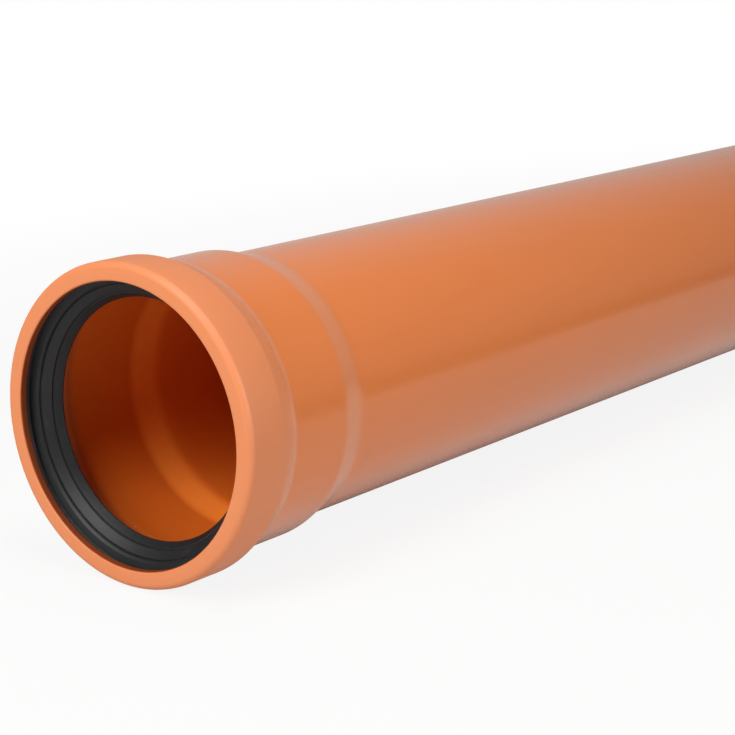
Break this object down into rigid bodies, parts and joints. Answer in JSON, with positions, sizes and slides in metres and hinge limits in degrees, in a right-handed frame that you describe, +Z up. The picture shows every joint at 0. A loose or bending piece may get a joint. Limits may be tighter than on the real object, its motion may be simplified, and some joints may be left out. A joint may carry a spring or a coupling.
{
  "type": "pvc sewer pipe",
  "caption": "Smooth round plastic sewer pipe with a belled push-fit socket, a raised bead round the mouth, a rubber lip seal in it and a plain chamfered spigot end.",
  "frame": {"origin": "on the floor, under the middle of the pipe's length, with the pipe lying on the bottom of its bead and of its spigot end", "axes": "+X along the pipe from the socket towards the spigot end, dipping 0.62 degrees because the bead is wider than the barrel; +Z up; +Y across"},
  "size_m": [1.0903, 0.1826, 0.1829],
  "materials": {
    "pipe": "smooth extruded PVC-U in terracotta orange, satin gloss",
    "seal_ring": "moulded black elastomer, dull sheen"
  },
  "bodies": {
    "root": {"pipe": "pipe", "seal_ring": "seal_ring"}
  },
  "joints": []
}
